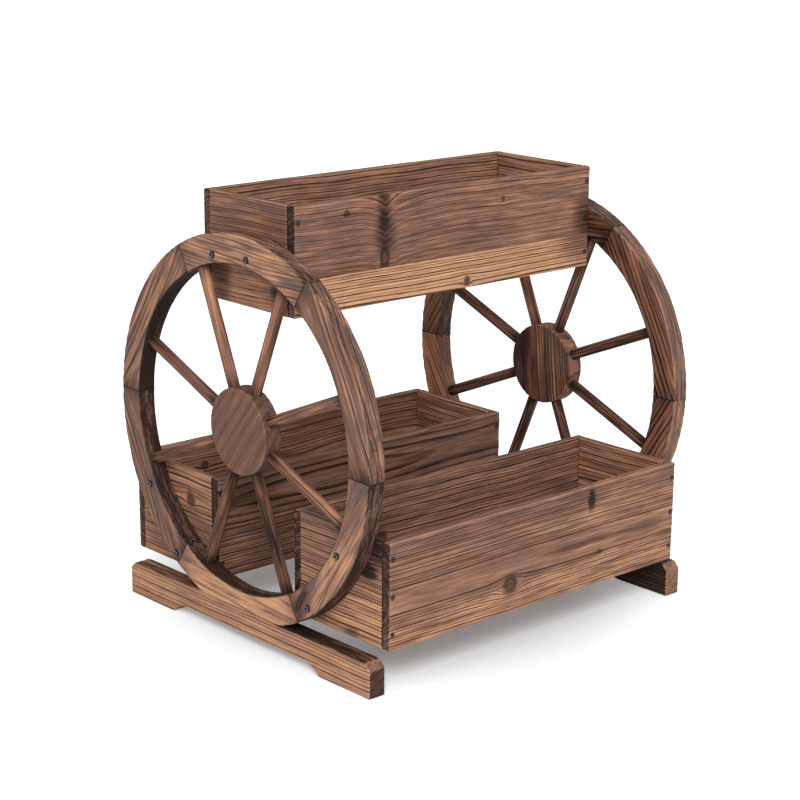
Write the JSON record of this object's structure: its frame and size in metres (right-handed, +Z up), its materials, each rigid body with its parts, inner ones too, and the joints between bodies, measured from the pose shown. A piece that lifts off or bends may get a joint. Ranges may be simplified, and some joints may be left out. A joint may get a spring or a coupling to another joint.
{
  "type": "planter stand",
  "caption": "Open wooden planter boxes on high and low tiers, carried between fixed spoked wooden wheels that stand on foot rails.",
  "frame": {"origin": "on the floor under the middle of the stand", "axes": "+X along the boxes to the right wheel, -Y is the front, where the front box is, +Z is up"},
  "size_m": [0.5602, 0.503, 0.56],
  "materials": {
    "rim_wood": "flame-darkened, wire-brushed",
    "hub_wood": "flame-darkened, wire-brushed",
    "spoke_wood": "flame-darkened, wire-brushed",
    "foot_wood": "flame-darkened, wire-brushed",
    "side_wood": "flame-darkened, wire-brushed",
    "end_wood": "flame-darkened, wire-brushed",
    "floor_wood": "flame-darkened, wire-brushed",
    "black_screw": "black phosphate",
    "zinc_screw": "zinc plated",
    "fastener_steel": "blued steel"
  },
  "bodies": {
    "root": {"left_felloe_top": "rim_wood", "left_felloe_upper_front": "rim_wood", "left_felloe_lower_front": "rim_wood", "left_felloe_bottom": "rim_wood", "left_felloe_lower_back": "rim_wood", "left_felloe_upper_back": "rim_wood", "right_felloe_top": "rim_wood", "right_felloe_upper_front": "rim_wood", "right_felloe_lower_front": "rim_wood", "right_felloe_bottom": "rim_wood", "right_felloe_lower_back": "rim_wood", "right_felloe_upper_back": "rim_wood", "left_hub": "hub_wood", "right_hub": "hub_wood", "left_spoke_1": "spoke_wood", "left_spoke_2": "spoke_wood", "left_spoke_3": "spoke_wood", "left_spoke_4": "spoke_wood", "left_spoke_5": "spoke_wood", "left_spoke_6": "spoke_wood", "left_spoke_7": "spoke_wood", "left_spoke_8": "spoke_wood", "right_spoke_1": "spoke_wood", "right_spoke_2": "spoke_wood", "right_spoke_3": "spoke_wood", "right_spoke_4": "spoke_wood", "right_spoke_5": "spoke_wood", "right_spoke_6": "spoke_wood", "right_spoke_7": "spoke_wood", "right_spoke_8": "spoke_wood", "left_foot": "foot_wood", "right_foot": "foot_wood", "top_box_front_upper": "side_wood", "top_box_front_lower": "side_wood", "top_box_back": "side_wood", "top_box_left_end": "end_wood", "top_box_right_end": "end_wood", "top_box_floor_front": "floor_wood", "top_box_floor_back": "floor_wood", "top_box_cleats": "floor_wood", "front_box_front": "side_wood", "front_box_back": "side_wood", "front_box_left_end": "end_wood", "front_box_right_end": "end_wood", "front_box_floor_front": "floor_wood", "front_box_floor_back": "floor_wood", "front_box_cleats": "floor_wood", "back_box_front": "side_wood", "back_box_back": "side_wood", "back_box_left_end": "end_wood", "back_box_right_end": "end_wood", "back_box_floor_front": "floor_wood", "back_box_floor_back": "floor_wood", "back_box_cleats": "floor_wood", "rim_screws": "black_screw", "foot_screws": "zinc_screw", "corner_screws": "black_screw", "floor_screws": "zinc_screw", "joint_fasteners": "fastener_steel"}
  },
  "joints": []
}
